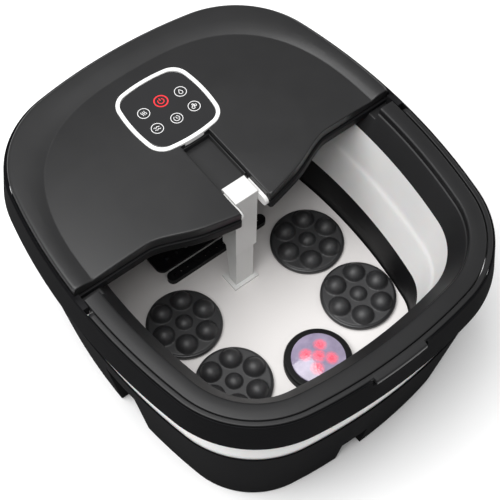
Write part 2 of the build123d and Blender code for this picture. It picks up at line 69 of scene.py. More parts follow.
class Outline:
    """Closed chain of tangent arcs. loop(inset) gives its points, moved inward by inset."""

    def __init__(self, arcs, steps):
        self.centre, self.radius, self.way = [], [], []
        for x, y, radius, start, turn in arcs:
            for step in range(steps):
                angle = start + turn * step / steps
                self.centre.append((x, y))
                self.radius.append(radius)
                self.way.append((cos(angle), sin(angle)))
        self.centre = np.array(self.centre)
        self.radius = np.array(self.radius)
        self.way = np.array(self.way)

    def loop(self, inset):
        return self.centre + (self.radius - inset)[:, None] * self.way


HALF_WIDTH, HALF_LENGTH = 185.0, 214.0
SIDE_RADIUS, END_RADIUS, CORNER_RADIUS = 600.0, 515.0, 102.0
SIDE_X = HALF_WIDTH - SIDE_RADIUS
END_Y = HALF_LENGTH - END_RADIUS


def corner_facts():
    """Centre of the corner arc, and the directions in which it meets the side and the end arc."""
    span = hypot(SIDE_X, END_Y)
    to_side = SIDE_RADIUS - CORNER_RADIUS
    to_end = END_RADIUS - CORNER_RADIUS
    along = (to_side**2 - to_end**2 + span**2) / (2 * span)
    across = sqrt(to_side**2 - along**2)
    x = SIDE_X - (along * SIDE_X + across * END_Y) / span
    y = (along * END_Y - across * SIDE_X) / span
    return x, y, atan2(y, x - SIDE_X), atan2(y - END_Y, x)


CORNER_X, CORNER_Y, SIDE_TURN, END_TURN = corner_facts()


def plan_outline(steps=26):
    turn = END_TURN - SIDE_TURN
    wide = pi - 2 * END_TURN
    return Outline([
        (SIDE_X, 0, SIDE_RADIUS, -SIDE_TURN, 2 * SIDE_TURN),
        (CORNER_X, CORNER_Y, CORNER_RADIUS, SIDE_TURN, turn),
        (0, END_Y, END_RADIUS, END_TURN, wide),
        (-CORNER_X, CORNER_Y, CORNER_RADIUS, pi - END_TURN, turn),
        (-SIDE_X, 0, SIDE_RADIUS, pi - SIDE_TURN, 2 * SIDE_TURN),
        (-CORNER_X, -CORNER_Y, CORNER_RADIUS, pi + SIDE_TURN, turn),
        (0, -END_Y, END_RADIUS, pi + END_TURN, wide),
        (CORNER_X, -CORNER_Y, CORNER_RADIUS, 2 * pi - END_TURN, turn),
    ], steps)


def inset_of(x, y):
    """How far a point lies inside the plan outline."""
    x, y = abs(x), abs(y)
    if SIDE_TURN <= atan2(y - CORNER_Y, x - CORNER_X) <= END_TURN:
        return CORNER_RADIUS - hypot(x - CORNER_X, y - CORNER_Y)
    return min(SIDE_RADIUS - hypot(x - SIDE_X, y), END_RADIUS - hypot(x, y - END_Y))


PANEL_HALF = (high("panel_bezel") - low("panel_bezel")).x / 2
PANEL_Y = (high("panel_bezel") + low("panel_bezel")).y / 2


def soft_square(half, steps=12):
    """Square with bulging sides and round corners, centred on the panel."""
    corner = 0.45 * half
    bulge = 3.6 * half
    back = bulge - half
    inner = bulge - corner
    offset = (-back + sqrt(2 * inner**2 - back**2)) / 2
    turn = atan2(offset, offset + back)
    arcs = []
    for quarter in range(4):
        way = quarter * pi / 2
        slant = way + pi / 4
        arcs.append((-back * cos(way), PANEL_Y - back * sin(way), bulge, way - turn, 2 * turn))
        arcs.append((offset * sqrt(2) * cos(slant), PANEL_Y + offset * sqrt(2) * sin(slant),
                     corner, way + turn, pi / 2 - 2 * turn))
    return Outline(arcs, steps)


PLAN = plan_outline()

# ---------------------------------------------------------------- mesh helpers


def rounded(corners, steps=5):
    """Closed profile through corners (inset, z, radius), each eased over its radius."""
    points = []
    for index, (a, z, ease) in enumerate(corners):
        here = np.array((a, z), float)
        if not ease:
            points.append(tuple(here))
            continue
        before = np.array(corners[index - 1][:2], float) - here
        after = np.array(corners[(index + 1) % len(corners)][:2], float) - here
        start = before * min(ease / np.linalg.norm(before), 0.5)
        end = after * min(ease / np.linalg.norm(after), 0.5)
        for step in range(steps + 1):
            s = step / steps
            points.append(tuple(here + (1 - s)**2 * start + s**2 * end))
    return points


def bridge(bm, rows, closed=True):
    """Quads between neighbouring rows of vertices; each row is a closed ring or an open line."""
    for this, other in zip(rows, rows[1:]):
        count = len(this)
        for i in range(count if closed else count - 1):
            j = (i + 1) % count
            bm.faces.new((this[i], this[j], other[j], other[i]))


def bridge_turned(bm, rows, count):
    """Faces between rings round an axis, where a row of one vertex is a point on the axis."""
    for this, other in zip(rows, rows[1:]):
        for i in range(count):
            j = (i + 1) % count
            corners = [this[i % len(this)], other[i % len(other)], other[j % len(other)], this[j % len(this)]]
            bm.faces.new(list(dict.fromkeys(corners)))


def sweep(outline, profile, cuts=()):
    """Ring of quads with the profile of (inset, z) points, less what lies beyond each cut (point, normal)."""
    bm = bmesh.new()
    rows = []
    for inset, z in profile:
        rows.append([bm.verts.new((x * MM, y * MM, z * MM)) for x, y in outline.loop(inset)])
    bridge(bm, rows + rows[:1])
    for point, normal in cuts:
        slice_off(bm, point, normal)
    bmesh.ops.recalc_face_normals(bm, faces=bm.faces)
    return bm


def slice_off(bm, point, normal):
    """Removes what lies on the normal's side of a plane and closes the cut."""
    everything = bm.verts[:] + bm.edges[:] + bm.faces[:]
    cut = bmesh.ops.bisect_plane(bm, geom=everything, plane_co=Vector(point) * MM,
                                 plane_no=normal, clear_outer=True)
    rim = [e for e in cut["geom_cut"] if isinstance(e, bmesh.types.BMEdge)]
    if rim:
        bmesh.ops.edgeloop_fill(bm, edges=rim)


FRONT, REAR, LEFT, RIGHT = (0, -1, 0), (0, 1, 0), (-1, 0, 0), (1, 0, 0)


def dome(x, y, profile, steps=96):
    """Turned solid; its profile of (radius, z) runs from the axis at the top to the axis at the bottom."""
    bm = bmesh.new()
    rows = []
    for radius, z in profile:
        if radius < 1e-6:
            rows.append([bm.verts.new((x * MM, y * MM, z * MM))])
            continue
        ring = []
        for step in range(steps):
            angle = 2 * pi * step / steps
            px, py = x + radius * cos(angle), y + radius * sin(angle)
            ring.append(bm.verts.new((px * MM, py * MM, z * MM)))
        rows.append(ring)
    bridge_turned(bm, rows, steps)
    bmesh.ops.recalc_face_normals(bm, faces=bm.faces)
    return bm


def prism(points, z0, z1):
    """Upright prism on a closed outline of (x, y) points."""
    bm = bmesh.new()
    floor = [bm.verts.new((x * MM, y * MM, z0 * MM)) for x, y in points]
    roof = [bm.verts.new((x * MM, y * MM, z1 * MM)) for x, y in points]
    bridge(bm, [floor, roof])
    bm.faces.new(roof)
    bm.faces.new(floor[::-1])
    bmesh.ops.recalc_face_normals(bm, faces=bm.faces)
    return bm


def make_piece(name, parts, body, material, replaces=(), sharp=35):
    """One object from bmesh parts, riding on a body in place of its CAD nodes."""
    joined = bmesh.new()
    for part in parts:
        scratch = bpy.data.meshes.new("scratch")
        part.to_mesh(scratch)
        part.free()
        joined.from_mesh(scratch)
        bpy.data.meshes.remove(scratch)
    mesh = bpy.data.meshes.new(name)
    joined.to_mesh(mesh)
    joined.free()
    mesh.polygons.foreach_set("use_smooth", [True] * len(mesh.polygons))
    mesh.set_sharp_from_angle(angle=radians(sharp))
    mesh.materials.append(material)
    piece = bpy.data.objects.new(name, mesh)
    bpy.context.scene.collection.objects.link(piece)
    weighted = piece.modifiers.new("even_shading", "WEIGHTED_NORMAL")
    weighted.keep_sharp = True
    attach(piece, body)
    if replaces:
        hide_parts(*replaces)
    return piece


def combine(piece, tools, operation="DIFFERENCE"):
    """Cuts bmesh solids out of a piece, or joins them to it, and keeps the result as its mesh."""
    weighted = piece.modifiers["even_shading"]
    weighted.show_viewport = False
    for bm in tools:
        mesh = bpy.data.meshes.new("tool")
        bm.to_mesh(mesh)
        bm.free()
        tool = bpy.data.objects.new("tool", mesh)
        bpy.context.scene.collection.objects.link(tool)
        step = piece.modifiers.new("combine", "BOOLEAN")
        step.operation = operation
        step.solver = "EXACT"
        step.object = tool
        graph = bpy.context.evaluated_depsgraph_get()
        piece.data = bpy.data.meshes.new_from_object(piece.evaluated_get(graph))
        piece.modifiers.remove(step)
        bpy.data.objects.remove(tool)
    piece.data.set_sharp_from_angle(angle=radians(35))
    weighted.show_viewport = True


def box_solid(low_corner, high_corner):
    (x0, y0, z0), (x1, y1, z1) = low_corner, high_corner
    return prism([(x0, y0), (x1, y0), (x1, y1), (x0, y1)], z0, z1)


# ---------------------------------------------------------------- materials


class Shader:
    """A node material with short helpers for the parts that most finishes here share."""

    def __init__(self, name):
        self.material = bpy.data.materials.new(name)
        self.material.use_nodes = True
        self.tree = self.material.node_tree
        self.bsdf = self.tree.nodes["Principled BSDF"]
        self.place = self.tree.nodes.new("ShaderNodeTexCoord").outputs["Object"]

    def link(self, source, target):
        self.tree.links.new(source, target)

    def noise(self, scale, detail=2.0, rough=0.5):
        node = self.tree.nodes.new("ShaderNodeTexNoise")
        node.inputs["Scale"].default_value = scale
        node.inputs["Detail"].default_value = detail
        node.inputs["Roughness"].default_value = rough
        self.link(self.place, node.inputs["Vector"])
        return node.outputs["Fac"]

    def cells(self, scale):
        node = self.tree.nodes.new("ShaderNodeTexVoronoi")
        node.inputs["Scale"].default_value = scale
        self.link(self.place, node.inputs["Vector"])
        return node.outputs["Distance"]

    def spread(self, value, low_in, high_in, low_out, high_out):
        node = self.tree.nodes.new("ShaderNodeMapRange")
        numbers = {"From Min": low_in, "From Max": high_in, "To Min": low_out, "To Max": high_out}
        for socket, number in numbers.items():
            node.inputs[socket].default_value = number
        self.link(value, node.inputs["Value"])
        return node.outputs["Result"]

    def blend(self, factor, first, second):
        """Colour mix; first and second are colours or sockets."""
        node = self.tree.nodes.new("ShaderNodeMix")
        node.data_type = "RGBA"
        self.link(factor, node.inputs["Factor"])
        for source, socket in ((first, node.inputs[6]), (second, node.inputs[7])):
            if isinstance(source, tuple):
                socket.default_value = (*source, 1)
            else:
                self.link(source, socket)
        return node.outputs[2]

    def bumps(self, height, strength, distance, below=None):
        node = self.tree.nodes.new("ShaderNodeBump")
        node.inputs["Strength"].default_value = strength
        node.inputs["Distance"].default_value = distance
        self.link(height, node.inputs["Height"])
        if below:
            self.link(below, node.inputs["Normal"])
        return node.outputs["Normal"]

    def edges(self, start=0.52, end=0.62):
        """1 along convex edges, 0 elsewhere."""
        node = self.tree.nodes.new("ShaderNodeNewGeometry")
        return self.spread(node.outputs["Pointiness"], start, end, 0.0, 1.0)


def plastic(name, colour, roughness, tint=0.12, grain=1400.0, depth=0.00004, edge_wear_and_highlight=0.25, **fixed):
    """Moulded plastic: fine spark-eroded grain, faint flow clouds, and convex edges painted a little lighter,
    partly as rub wear and partly as a painted highlight line along each edge.
    """
    shade = Shader(name)
    darker = tuple(c * (1 - tint) for c in colour)
    lighter = tuple(min(1.0, c * (1 + tint)) for c in colour)
    # Lighter colour for convex edges: partly rub wear, partly a painted highlight along the edges.
    rubbed_and_highlit = tuple(min(1.0, c * (1 + edge_wear_and_highlight) + 0.01 * edge_wear_and_highlight) for c in colour)
    clouds = shade.spread(shade.noise(14.0, 3.0), 0.35, 0.65, 0.0, 1.0)
    base = shade.blend(clouds, darker, lighter)
    base = shade.blend(shade.edges(), base, rubbed_and_highlit)
    shade.link(base, shade.bsdf.inputs["Base Color"])
    polish = shade.spread(shade.noise(55.0, 4.0), 0.3, 0.7, roughness * 0.96, roughness * 1.05)
    shade.link(polish, shade.bsdf.inputs["Roughness"])
    waves = shade.bumps(shade.noise(24.0, 1.0), 0.05, 0.0003)
    skin = shade.bumps(shade.noise(grain, 3.0, 0.6), 0.35, depth, waves)
    shade.link(skin, shade.bsdf.inputs["Normal"])
    for socket, number in fixed.items():
        shade.bsdf.inputs[socket.replace("_", " ")].default_value = number
    return shade.material


def metal(name, colour, roughness, brush=900.0):
    """Bare metal with fine drawn scratches and a slightly uneven polish."""
    shade = Shader(name)
    stretch = shade.tree.nodes.new("ShaderNodeMapping")
    stretch.inputs["Scale"].default_value = (1.0, 1.0, 0.04)
    shade.link(shade.place, stretch.inputs["Vector"])
    shade.place = stretch.outputs["Vector"]
    darker = tuple(0.8 * c for c in colour)
    shade.link(shade.blend(shade.noise(60.0, 3.0), darker, colour), shade.bsdf.inputs["Base Color"])
    streaks = shade.noise(brush, 2.0)
    polish = shade.spread(streaks, 0.3, 0.7, roughness * 0.75, roughness * 1.3)
    shade.link(polish, shade.bsdf.inputs["Roughness"])
    shade.link(shade.bumps(streaks, 0.2, 0.00003), shade.bsdf.inputs["Normal"])
    shade.bsdf.inputs["Metallic"].default_value = 1.0
    return shade.material


def board(name, colour, copper):
    """Circuit board lacquer with faint tracks under it."""
    shade = Shader(name)
    grid = shade.tree.nodes.new("ShaderNodeTexBrick")
    grid.inputs["Scale"].default_value = 90.0
    grid.inputs["Mortar Size"].default_value = 0.03
    shade.link(shade.place, grid.inputs["Vector"])
    tracks = shade.blend(grid.outputs["Fac"], colour, copper)
    clouds = shade.spread(shade.noise(30.0), 0.3, 0.7, 0.0, 0.35)
    cloudy = shade.blend(clouds, tracks, tuple(0.6 * c for c in colour))
    shade.link(cloudy, shade.bsdf.inputs["Base Color"])
    shade.link(shade.spread(shade.noise(80.0), 0.3, 0.7, 0.25, 0.4), shade.bsdf.inputs["Roughness"])
    shade.link(shade.bumps(grid.outputs["Fac"], 0.4, 0.00005), shade.bsdf.inputs["Normal"])
    return shade.material


def glowing(name, colour, glow, strength):
    """Printed or lit mark: its own colour with a little light of its own."""
    shade = Shader(name)
    mottle = shade.spread(shade.noise(400.0, 2.0), 0.3, 0.7, 0.0, 1.0)
    shade.link(shade.blend(mottle, tuple(0.88 * c for c in colour), colour), shade.bsdf.inputs["Base Color"])
    shade.link(shade.spread(shade.noise(300.0), 0.3, 0.7, 0.35, 0.5), shade.bsdf.inputs["Roughness"])
    shade.link(shade.bumps(shade.noise(1500.0), 0.2, 0.00002), shade.bsdf.inputs["Normal"])
    shade.bsdf.inputs["Emission Color"].default_value = (*glow, 1)
    shade.bsdf.inputs["Emission Strength"].default_value = strength
    return shade.material


LAMP_RING = 13.0
LIGHT_Y = (low("lens") + high("lens")).y / 2


def lamp_places():
    spots = [(0.0, LIGHT_Y)]
    for step in range(4):
        angle = radians(45 + 90 * step)
        spots.append((LAMP_RING * cos(angle), LIGHT_Y + LAMP_RING * sin(angle)))
    return spots


def frosted_lens(name):
    """Milky moulded lens over the lamps, glowing red above each."""
    shade = Shader(name)
    total = None
    for x, y in lamp_places():
        away = shade.tree.nodes.new("ShaderNodeVectorMath")
        away.operation = "DISTANCE"
        away.inputs[1].default_value = (x * MM, y * MM, high("lens").z * MM)
        shade.link(shade.place, away.inputs[0])
        spot = shade.spread(away.outputs["Value"], 0.0010, 0.0080, 1.0, 0.0)
        if total is None:
            total = spot
            continue
        add = shade.tree.nodes.new("ShaderNodeMath")
        add.operation = "MAXIMUM"
        shade.link(total, add.inputs[0])
        shade.link(spot, add.inputs[1])
        total = add.outputs["Value"]
    broken = shade.tree.nodes.new("ShaderNodeMath")
    broken.operation = "MULTIPLY"
    shade.link(total, broken.inputs[0])
    shade.link(shade.spread(shade.cells(420.0), 0.0, 0.7, 0.35, 1.0), broken.inputs[1])
    clouds = shade.spread(shade.noise(70.0, 3.0), 0.3, 0.7, 0.0, 1.0)
    milk = shade.blend(clouds, (0.20, 0.17, 0.25), (0.30, 0.26, 0.36))
    glow = shade.blend(broken.outputs["Value"], milk, (0.75, 0.05, 0.08))
    shade.link(glow, shade.bsdf.inputs["Base Color"])
    shade.link(shade.blend(broken.outputs["Value"], (0.02, 0.015, 0.03), (0.9, 0.03, 0.05)),
               shade.bsdf.inputs["Emission Color"])
    shade.bsdf.inputs["Emission Strength"].default_value = 0.9
    shade.link(shade.spread(shade.noise(120.0), 0.3, 0.7, 0.12, 0.2), shade.bsdf.inputs["Roughness"])
    shade.link(shade.bumps(shade.cells(420.0), 0.35, 0.0004), shade.bsdf.inputs["Normal"])
    shade.bsdf.inputs["Coat Weight"].default_value = 0.6
    shade.bsdf.inputs["Coat Roughness"].default_value = 0.05
    return shade.material


FINISH = {
    # The shell's strong edge lightening is mostly a painted highlight along its edges, with a little rub wear.
    "shell_black": plastic("shell_black", (0.0045, 0.0045, 0.005), 0.42, tint=0.06, edge_wear_and_highlight=0.6,
                           Specular_IOR_Level=0.0, Coat_Weight=0.045, Coat_Roughness=0.3),
    "satin_black": plastic("satin_black", (0.011, 0.011, 0.0115), 0.38, tint=0.06, Specular_IOR_Level=0.4),
    "band_black": plastic("band_black", (0.008, 0.008, 0.0085), 0.42, tint=0.06, Specular_IOR_Level=0.28),
    "inner_black": plastic("inner_black", (0.004, 0.004, 0.0045), 0.5, grain=900.0, edge_wear_and_highlight=0.1,
                           Specular_IOR_Level=0.12),
    "white_trim": plastic("white_trim", (0.80, 0.80, 0.79), 0.28, tint=0.03, edge_wear_and_highlight=0.05),
    "panel_gloss": plastic("panel_gloss", (0.008, 0.008, 0.009), 0.08, depth=0.000004, edge_wear_and_highlight=0.1,
                           Coat_Weight=0.8),
    "mark_white": glowing("mark_white", (0.75, 0.75, 0.75), (1, 1, 1), 0.12),
    "mark_red": glowing("mark_red", (0.6, 0.02, 0.03), (1.0, 0.03, 0.04), 0.3),
    "column_white": plastic("column_white", (0.60, 0.60, 0.59), 0.4, tint=0.03, edge_wear_and_highlight=0.05),
    "fold_white": plastic("fold_white", (0.66, 0.655, 0.65), 0.5, tint=0.03, grain=700.0, edge_wear_and_highlight=0.03,
                          Subsurface_Weight=0.15, Subsurface_Scale=0.002),
    "floor_light": plastic("floor_light", (0.62, 0.60, 0.59), 0.42, tint=0.06, edge_wear_and_highlight=0.05),
    "disc_black": plastic("disc_black", (0.014, 0.014, 0.015), 0.33),
    "knob_rubber": plastic("knob_rubber", (0.018, 0.018, 0.019), 0.5, grain=500.0, depth=0.00008),
    "steel": metal("steel", (0.62, 0.61, 0.60), 0.28),
    "rubber_black": plastic("rubber_black", (0.022, 0.022, 0.022), 0.7, grain=600.0, depth=0.0001),
    "motor_case": plastic("motor_case", (0.10, 0.10, 0.11), 0.5),
    "board_green": board("board_green", (0.02, 0.12, 0.05), (0.06, 0.22, 0.09)),
    "heater_alloy": metal("heater_alloy", (0.55, 0.56, 0.57), 0.4),
    "lens_clear": frosted_lens("lens_clear"),
    "lamp_red": glowing("lamp_red", (0.8, 0.02, 0.02), (1.0, 0.02, 0.02), 6.0),
}


def finish_cad_nodes():
    """Every carried-over CAD node takes the detailed finish of its material slot."""
    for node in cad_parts.values():
        for place in node.material_slots:
            place.material = FINISH[place.material.name.split(".")[0]]


def ease_edges(node, width, segments=3):
    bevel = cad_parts[node].modifiers.new("eased", "BEVEL")
    bevel.width = width * MM
    bevel.segments = segments
    bevel.limit_method = "ANGLE"
    bevel.angle_limit = radians(40)
    bevel.harden_normals = True


# ---------------------------------------------------------------- rim and handle

RIM_TOP = high("rim_liner").z
SKIRT_LOW = low("rim_skirt").z
SKIRT_TOP = high("rim_skirt").z
SKIRT_FLARE = 5.0
SHELF = 195.0
SHELF_LOW = 192.0
HANDLE_SEAT_END = -9.0
BAND_END = -2.0
COVER_SEAT = 6.4
BAND_OUTER, BAND_INNER = 7.3, 23.4


def build_skirt():
    """Flared outer skirt with its thin lip, the shelf inside it and the land between handle and cover."""
    wall = rounded([
        (-SKIRT_FLARE, SKIRT_LOW, 1.2), (0.0, SKIRT_TOP, 1.1), (1.6, SKIRT_TOP, 0.5), (1.6, SHELF, 0),
        (1.6, SHELF_LOW, 0), (0.5, SHELF_LOW, 0), (2.5 - SKIRT_FLARE, SKIRT_LOW, 0.8),
    ])
    shelf = [(1.5, SHELF_LOW), (1.5, SHELF), (6.9, SHELF), (6.9, SHELF_LOW)]
    land = rounded([(1.0, SHELF, 0), (1.0, SKIRT_TOP, 0), (6.9, SKIRT_TOP, 0.5), (6.9, SHELF, 0)])
    seat = rounded([(1.0, SHELF, 0), (1.0, SKIRT_TOP, 0), (3.2, SKIRT_TOP, 0.5), (3.2, SHELF, 0)])
    parts = [
        sweep(PLAN, wall),
        sweep(PLAN, shelf),
        sweep(PLAN, land, [((0, HANDLE_SEAT_END, 0), FRONT), ((0, COVER_SEAT, 0), REAR)]),
        sweep(PLAN, seat, [((0, COVER_SEAT, 0), FRONT)]),
    ]
    skirt = make_piece("outer_skirt", parts, "upper", FINISH["shell_black"], ["rim_skirt"])
    reach = HALF_LENGTH + 20
    combine(skirt, [box_solid((-31, -reach, RIM_TOP - 7), (31, 8 - HALF_LENGTH, RIM_TOP + 9))])
    return skirt


def build_band():
    """Broad rounded band round the front of the mouth, and the sloping liner under it."""
    top = RIM_TOP
    band = rounded([
        (BAND_OUTER, SHELF_LOW, 0), (BAND_OUTER, top - 0.7, 1.6), (15.0, top, 4.0),
        (BAND_INNER, top - 0.7, 2.4), (BAND_INNER + 0.3, 200.4, 0.6), (25.2, 199.6, 0.6),
        (39.0, 180.0, 0.5), (36.6, 180.0, 0.4), (21.0, 203.0, 0), (9.8, 203.0, 0), (9.8, SHELF_LOW, 0),
    ])
    shelf = rounded([
        (BAND_OUTER, SHELF_LOW + 0.6, 0), (BAND_OUTER, SHELF, 0.4), (28.2, SHELF, 1.0), (39.0, 180.0, 0.5),
        (36.6, 180.0, 0.4), (27.0, SHELF_LOW + 0.6, 0),
    ])
    parts = [
        sweep(PLAN, band, [((0, BAND_END, 0), REAR)]),
        sweep(PLAN, shelf, [((0, BAND_END, 0), FRONT)]),
    ]
    return make_piece("mouth_band", parts, "upper", FINISH["band_black"], ["rim_liner"])


HANDLE_OUTER, HANDLE_INNER = 1.9, 6.6
HANDLE_PIVOT = -20.0
TAB_HALF, TAB_OUT, TAB_DEEP = 28, -2.6, 5.5


def build_handle():
    """Narrow carry handle lying round the front of the rim, with round hinge ends and a finger tab."""
    outer, inner, pivot = HANDLE_OUTER, HANDLE_INNER, HANDLE_PIVOT
    bottom, top = low("handle").z, high("handle").z
    middle, half = (bottom + top) / 2, (top - bottom) / 2
    strap = rounded([(outer, bottom, 0.6), (outer, top, 1.5), (inner, top, 1.1), (inner, bottom, 0.6)])
    tab_low, tab_back = top - TAB_DEEP, outer + 1.5
    tab = rounded([(TAB_OUT, tab_low, 0.9), (TAB_OUT, top, 2.2), (tab_back, top, 0), (tab_back, tab_low, 0)])
    parts = [
        sweep(PLAN, strap, [((0, pivot, 0), REAR)]),
        sweep(PLAN, tab, [((0, 0, 0), REAR), ((TAB_HALF, 0, 0), RIGHT), ((-TAB_HALF, 0, 0), LEFT)]),
    ]
    reach = SIDE_X + sqrt(SIDE_RADIUS**2 - pivot**2)
    ease = 0.6
    for side in (-1, 1):
        ear = bmesh.new()
        faces = []
        for inset, shrink in ((outer, 1.0), (outer, 0.0), (inner, 0.0), (inner, 1.0)):
            ring = []
            x = side * (reach - inset + (ease if inset == outer else -ease) * (shrink - 1))
            for step in range(25):
                angle = pi * step / 24
                radius = half - ease * shrink
                y, z = pivot + radius * sin(angle), middle + radius * cos(angle)
                ring.append(ear.verts.new((x * MM, y * MM, z * MM)))
            faces.append(ring)
        bridge(ear, faces, closed=False)
        ear.faces.new(faces[0])
        ear.faces.new(faces[-1])
        bmesh.ops.recalc_face_normals(ear, faces=ear.faces)
        parts.append(ear)
    return make_piece("carry_handle", parts, "handle", FINISH["band_black"], ["handle"])


# ---------------------------------------------------------------- splash cover

COVER_INSET = 3.6
FRONT_Y = 9.0
SLOT = 16.5
SLOT_END = PANEL_Y - PANEL_HALF + 0.4
CURVE_X = (SLOT, 36.0, 56.0, 82.0, 105.0)
CURVE_Y = (-16.5, -12.5, -7.5, 3.0, FRONT_Y)
DECK_TOP = high("splash_cover").z
DECK_UNDER = DECK_TOP - 4.8
CREASE_X, CREASE_Y, CREASE_POWER = 161.0, 180.0, 2.7
SINK, ROLL = 3.5, 60.0
COVER_EDGE = SIDE_X + sqrt((SIDE_RADIUS - COVER_INSET)**2 - FRONT_Y**2)


def curve_slopes(xs, ys, first, last):
    """Slopes of the smooth curve through the knots, with given slopes at its ends."""
    count = len(xs)
    left, right = np.eye(count), np.zeros(count)
    right[0], right[-1] = first, last
    for i in range(1, count - 1):
        before, after = xs[i] - xs[i - 1], xs[i + 1] - xs[i]
        left[i, i - 1:i + 2] = after, 2 * (before + after), before
        right[i] = 3 * (after * (ys[i] - ys[i - 1]) / before + before * (ys[i + 1] - ys[i]) / after)
    return np.linalg.solve(left, right)


CURVE_SLOPES = curve_slopes(CURVE_X, CURVE_Y, 0.15, 0.0)


def front_line(x):
    """Y of the cover's front edge at x."""
    x = max(abs(x), SLOT)
    if x >= CURVE_X[-1]:
        return FRONT_Y
    i = max(k for k in range(len(CURVE_X) - 1) if CURVE_X[k] <= x)
    width = CURVE_X[i + 1] - CURVE_X[i]
    t = (x - CURVE_X[i]) / width
    return ((2 * t**3 - 3 * t**2 + 1) * CURVE_Y[i] + (t**3 - 2 * t**2 + t) * width * CURVE_SLOPES[i]
            + (3 * t**2 - 2 * t**3) * CURVE_Y[i + 1] + (t**3 - t**2) * width * CURVE_SLOPES[i + 1])


def front_path(start, end, step=2.2):
    """Points of the front edge between two x, on the right-hand side."""
    count = max(2, round(abs(end - start) / step))
    return np.array([(x, front_line(x)) for x in np.linspace(start, end, count + 1)])


def path_normals(path):
    """Unit normals of a path, pointing to the rear of the basin."""
    along = np.gradient(path, axis=0)
    along /= np.linalg.norm(along, axis=1)[:, None]
    normals = np.stack((-along[:, 1], along[:, 0]), axis=1)
    return normals * np.sign(normals[:, 1])[:, None]


def distance_to(path, points):
    """Distance from each point to a path."""
    nearest = np.full(len(points), 1e9)
    for start, end in zip(path, path[1:]):
        run = end - start
        share = np.clip(((points - start) @ run) / (run @ run), 0, 1)
        nearest = np.minimum(nearest, np.linalg.norm(points - start - share[:, None] * run, axis=1))
    return nearest


def crease_loop(aside, count=260):
    """The deck's crease, an oval with full corners, moved inward by aside."""
    turns = np.linspace(0, pi, count)
    x, y = np.cos(turns), np.sin(turns)
    x = np.sign(x) * np.abs(x)**(2 / CREASE_POWER) * (CREASE_X - aside)
    y = y**(2 / CREASE_POWER) * (CREASE_Y - aside)
    return np.stack((x, y), axis=1)


def crease_distance(points):
    """How far each point lies inside the crease, and negative outside it."""
    x, y = np.abs(points[:, 0]) / CREASE_X, np.abs(points[:, 1]) / CREASE_Y
    share = (x**CREASE_POWER + y**CREASE_POWER)**(1 / CREASE_POWER)
    return (1 - share) * np.hypot(points[:, 0], points[:, 1])


def rounding(distance, radius):
    """How far a rounded edge falls at a distance from it."""
    inward = np.clip(radius - distance, 0, radius)
    return radius - np.sqrt(radius**2 - inward**2)


HOLE = soft_square(PANEL_HALF - 2.2)
EDGE = 1.6
OUTER_EDGE = 3.6


def deck_heights(points):
    """Top and underside of the cover at each point."""
    inset = np.array([inset_of(x, y) for x, y in points])
    side = np.abs(points[:, 0])
    mirrored = np.stack((side, points[:, 1]), axis=1)
    front = distance_to(front_path(SLOT, COVER_EDGE, 1.5), mirrored)
    slot = np.hypot(np.maximum(side - SLOT, 0), np.maximum(points[:, 1] - SLOT_END, 0))
    within = crease_distance(points)
    border = np.clip((inset - 6) / np.maximum(inset - 6 - within, 1), 0, 1)
    fall = np.where(within < 0, SINK * border**2.4, SINK * (1 - np.clip(within / ROLL, 0, 1))**2)
    top = DECK_TOP - fall
    top -= rounding(inset - COVER_INSET, OUTER_EDGE) + rounding(front, EDGE) + rounding(slot, 1.0)
    under = np.where(inset < COVER_INSET + 2.4, SHELF + 0.2, DECK_UNDER - 1.5)
    edge = np.minimum(front, slot)
    under = np.where((edge < 2.4) & (inset >= COVER_INSET + 2.4), 201.5, under)
    return top, under


def inside_deck(x, y, margin=0.0):
    if inset_of(x, y) < COVER_INSET + margin or y < front_line(x) + margin:
        return False
    if abs(x) < SLOT + margin and y < SLOT_END + margin:
        return False
    shape = HOLE.loop(-margin)
    ahead = shape[:, 1] > y
    crossing = ahead != np.roll(ahead, -1)
    after = np.roll(shape, -1, axis=0)
    run = after - shape
    reach = shape[:, 0] + (y - shape[:, 1]) * run[:, 0] / np.where(crossing, run[:, 1], 1)
    return np.count_nonzero(crossing & (reach > x)) % 2 == 0


def deck_network():
    """Points and lines from which the cover's top is triangulated: its edges, their rounding, and its creases."""
    points, lines = [], []

    def add_line(path, closed=False, always=False):
        last = first = None
        for x, y in path:
            if not always and not inside_deck(x, y, 0.1):
                last = None
                continue
            points.append((x, y))
            index = len(points) - 1
            if first is None:
                first = index
            if last is not None:
                lines.append((last, index))
            last = index
        if closed:
            lines.append((last, first))

    fine = plan_outline(40)
    rear = [p for p in fine.loop(COVER_INSET) if p[1] > FRONT_Y + 1.0]
    rear.sort(key=lambda p: atan2(p[0], p[1]))
    right = front_path(SLOT, COVER_EDGE)
    left = right * (-1, 1)
    slot = [(-SLOT, y) for y in np.linspace(CURVE_Y[0], SLOT_END, 30)][1:]
    back = [(x, SLOT_END) for x in np.linspace(-SLOT, SLOT, 9)][1:-1]
    edge = [*rear, *right[::-1], *[(-x, y) for x, y in slot], *back[::-1], *slot[::-1], *left]
    add_line(edge, closed=True, always=True)
    add_line(HOLE.loop(0), closed=True, always=True)
    for inset in (3.75, 4.1, 4.7, 5.4, 6.2, 7.2, 8.5, 12, 16):
        add_line(fine.loop(inset))
    for aside in (-16, -12, -8, -5, -2.5, -1, 0, 1, 2.5, 5, 8, 12, 17, 23, 30, 38, 46, 54, ROLL):
        add_line([p for p in crease_loop(aside) if inset_of(*p) > 17])
    for aside in (0.12, 0.35, 0.7, 1.1, EDGE, 2.4, 4.0):
        moved = right + aside * path_normals(right)
        add_line(moved)
        add_line(moved * (-1, 1))
    for aside in (0.1, 0.3, 0.6, 1.0, 2.4):
        for side in (-1, 1):
            add_line([(side * (SLOT + aside), y) for y in np.linspace(CURVE_Y[0], SLOT_END, 30)])
    for x in np.arange(-180, 181, 7.0):
        for y in np.arange(-20, 215, 7.0):
            if inside_deck(x, y, 3.0) and crease_distance(np.array([(x, y)]))[0] > ROLL + 4:
                points.append((x, y))
    return points, lines


